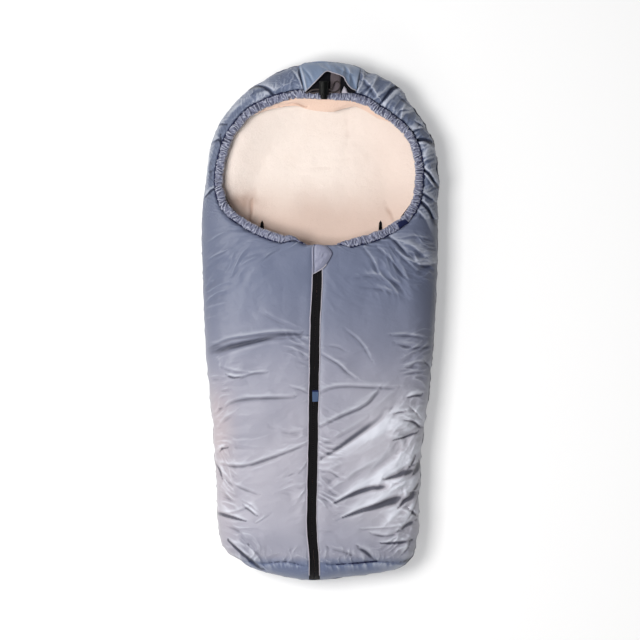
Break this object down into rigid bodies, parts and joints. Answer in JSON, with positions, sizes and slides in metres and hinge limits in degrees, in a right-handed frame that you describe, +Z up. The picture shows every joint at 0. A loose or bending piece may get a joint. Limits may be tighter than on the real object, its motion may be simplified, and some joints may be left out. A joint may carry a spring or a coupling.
{
  "type": "car seat footmuff",
  "caption": "Padded sleeping-bag footmuff for an infant car seat: fleece-lined sack, hooded face opening with a gathered band and drawcord, centre zip, harness slots.",
  "frame": {"origin": "middle of the bounding box, on the surface that the sack lies on", "axes": "+Y points to the head end along the sack, +X to the wearer's left, +Z up out of the front"},
  "size_m": [0.364, 0.8, 0.1187],
  "materials": {
    "shell_cloth": "tightly woven polyamide cloth, slight sheen",
    "band_cloth": "tightly woven polyamide cloth, slight sheen, gathered",
    "fleece": "curly pile fleece, matt",
    "wadding": "polyester wadding, matt",
    "zip_tape": "woven tape, matt",
    "zip_coil": "moulded, satin",
    "slider_metal": "dark plating",
    "pull_plastic": "moulded, satin",
    "blue_tab": "woven tab, plain",
    "navy_tab": "woven tab, plain",
    "binding": "woven binding tape, matt",
    "cord": "braided elastic cord",
    "lock_plastic": "moulded, satin",
    "spring_steel": "drawn wire"
  },
  "bodies": {
    "sack_back": {"back_shell": "shell_cloth", "back_wadding": "wadding", "back_lining": "fleece", "hood_shell": "shell_cloth", "hood_wadding": "wadding", "hood_lining": "fleece", "hood_band": "band_cloth", "drawcord": "cord", "harness_binding_left": "binding", "harness_binding_right": "binding", "crotch_binding": "binding"},
    "left_front": {"front_left_shell": "shell_cloth", "front_left_wadding": "wadding", "front_left_lining": "fleece", "foot_panel_left": "shell_cloth", "band_left": "band_cloth", "zip_tape_left": "zip_tape", "zip_teeth_left": "zip_coil"},
    "right_front": {"front_right_shell": "shell_cloth", "front_right_wadding": "wadding", "front_right_lining": "fleece", "foot_panel_right": "shell_cloth", "band_right": "band_cloth", "zip_tape_right": "zip_tape", "zip_teeth_right": "zip_coil", "zip_tab": "blue_tab", "band_tab": "navy_tab"},
    "slider": {"zip_slider": "slider_metal"},
    "pull": {"zip_pull": "pull_plastic"},
    "garage_flap": {"zip_garage": "shell_cloth"},
    "lock_flap": {"toggle_flap": "shell_cloth"},
    "lock_body": {"cord_lock": "lock_plastic", "lock_spring": "spring_steel"},
    "lock_plunger": {"lock_button": "lock_plastic"}
  },
  "joints": [
    {"name": "left_front_opens", "type": "hinge", "parent": "sack_back", "child": "left_front", "pos_m": [-0.17839, 0, 0.0483], "axis": [0.0638, -0.998, 0], "range_deg": [0, 150], "deforming": ["zip_tape_left", "zip_teeth_left"]},
    {"name": "right_front_opens", "type": "hinge", "parent": "sack_back", "child": "right_front", "pos_m": [0.17839, 0, 0.0483], "axis": [0.0638, 0.998, 0], "range_deg": [0, 150], "deforming": ["zip_tape_right", "zip_teeth_right"]},
    {"name": "slider_runs", "type": "slide", "parent": "left_front", "child": "slider", "axis": [-0.0183, -0.9998, 0], "range_m": [0, 0.385], "deforming": ["zip_tab"]},
    {"name": "pull_swings", "type": "hinge", "parent": "slider", "child": "pull", "pos_m": [-0.00559, 0.092, 0.1105], "axis": [-0.9998, 0.0183, 0], "range_deg": [0, 150]},
    {"name": "garage_flap_lifts", "type": "hinge", "parent": "left_front", "child": "garage_flap", "pos_m": [-0.0135, 0.1025, 0.11177], "axis": [0, -1, 0], "range_deg": [0, 120], "deforming": ["zip_garage"]},
    {"name": "lock_flap_lifts", "type": "hinge", "parent": "sack_back", "child": "lock_flap", "pos_m": [0.015, 0.39766, 0.06474], "axis": [-1, 0, 0], "range_deg": [0, 75]},
    {"name": "lock_runs_on_cord", "type": "slide", "parent": "sack_back", "child": "lock_body", "axis": [1, 0, 0], "range_m": [0, 0.01], "deforming": ["drawcord"]},
    {"name": "lock_plunger_presses", "type": "slide", "parent": "lock_body", "child": "lock_plunger", "axis": [0, 1, 0], "range_m": [0, 0.0035], "stiffness_N_per_m": 300, "deforming": ["lock_spring"]}
  ]
}
